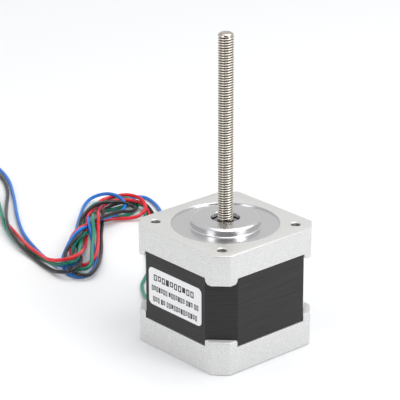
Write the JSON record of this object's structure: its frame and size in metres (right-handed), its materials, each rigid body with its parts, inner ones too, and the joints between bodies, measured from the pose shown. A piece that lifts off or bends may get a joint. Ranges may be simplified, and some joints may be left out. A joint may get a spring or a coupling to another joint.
{
  "type": "stepper motor with lead screw",
  "caption": "Square hybrid stepping motor with black laminated body, light cast end caps, four loose coloured leads and a threaded lead screw rising from its rotor.",
  "frame": {"origin": "centre of the motor's rear face, on the surface it stands on, on the screw axis", "axes": "+Z along the lead screw, away from the motor; -Y out of the side that carries the label; the leads leave through the -X side"},
  "size_m": [0.2115, 0.0817, 0.102],
  "materials": {
    "cast_aluminium": "satin, fine cast speckle",
    "lamination_black": "satin black",
    "steel": "satin",
    "screw_steel": "bright ground",
    "magnet": "plated",
    "copper": "enamelled copper wire",
    "insulator": "matte",
    "board": "satin",
    "grommet": "matte",
    "label": "satin",
    "tinned": "satin",
    "lead_blue": "soft gloss",
    "lead_black": "soft gloss",
    "lead_red": "soft gloss",
    "lead_green": "soft gloss"
  },
  "bodies": {
    "housing": {"coil_1": "copper", "coil_2": "copper", "coil_3": "copper", "coil_4": "copper", "coil_5": "copper", "coil_6": "copper", "coil_7": "copper", "coil_8": "copper", "front_bearing_outer_ring": "steel", "front_bearing_shield_lower": "steel", "front_bearing_shield_upper": "steel", "front_end_cap": "cast_aluminium", "housing_screw_1": "steel", "housing_screw_2": "steel", "housing_screw_3": "steel", "housing_screw_4": "steel", "insulator_front": "insulator", "insulator_rear": "insulator", "lead_bundle": "lead_black", "lead_grommet": "grommet", "rating_label": "label", "rear_bearing_outer_ring": "steel", "rear_bearing_shield_lower": "steel", "rear_bearing_shield_upper": "steel", "rear_end_cap": "cast_aluminium", "stator_core": "lamination_black", "terminal_board": "board", "wave_washer": "steel", "wire_black_1": "lead_black", "wire_black_2": "lead_black", "wire_black_end": "tinned", "wire_blue_1": "lead_blue", "wire_blue_2": "lead_blue", "wire_blue_end": "tinned", "wire_green_1": "lead_green", "wire_green_2": "lead_green", "wire_green_end": "tinned", "wire_red_1": "lead_red", "wire_red_2": "lead_red", "wire_red_end": "tinned"},
    "rotor": {"lead_screw": "screw_steel", "rotor_cup_front": "steel", "rotor_cup_rear": "steel", "rotor_magnet": "magnet", "rotor_spacer_front": "steel", "rotor_spacer_rear": "steel", "front_bearing_inner_ring": "steel", "rear_bearing_inner_ring": "steel"},
    "front_ball_cage": {"front_bearing_balls": "steel"},
    "rear_ball_cage": {"rear_bearing_balls": "steel"}
  },
  "joints": [
    {"name": "rotor_spin", "type": "hinge", "parent": "housing", "child": "rotor", "pos_m": [0, 0, 0.0205], "axis": [0, 0, 1], "continuous": true},
    {"name": "front_cage_spin", "type": "hinge", "parent": "housing", "child": "front_ball_cage", "pos_m": [0, 0, 0.0379], "axis": [0, 0, 1], "continuous": true},
    {"name": "rear_cage_spin", "type": "hinge", "parent": "housing", "child": "rear_ball_cage", "pos_m": [0, 0, 0.0055], "axis": [0, 0, 1], "continuous": true}
  ],
  "couplings": [
    {"joint": "front_cage_spin", "follows": "rotor_spin", "ratio": 0.4167},
    {"joint": "rear_cage_spin", "follows": "rotor_spin", "ratio": 0.4167}
  ]
}
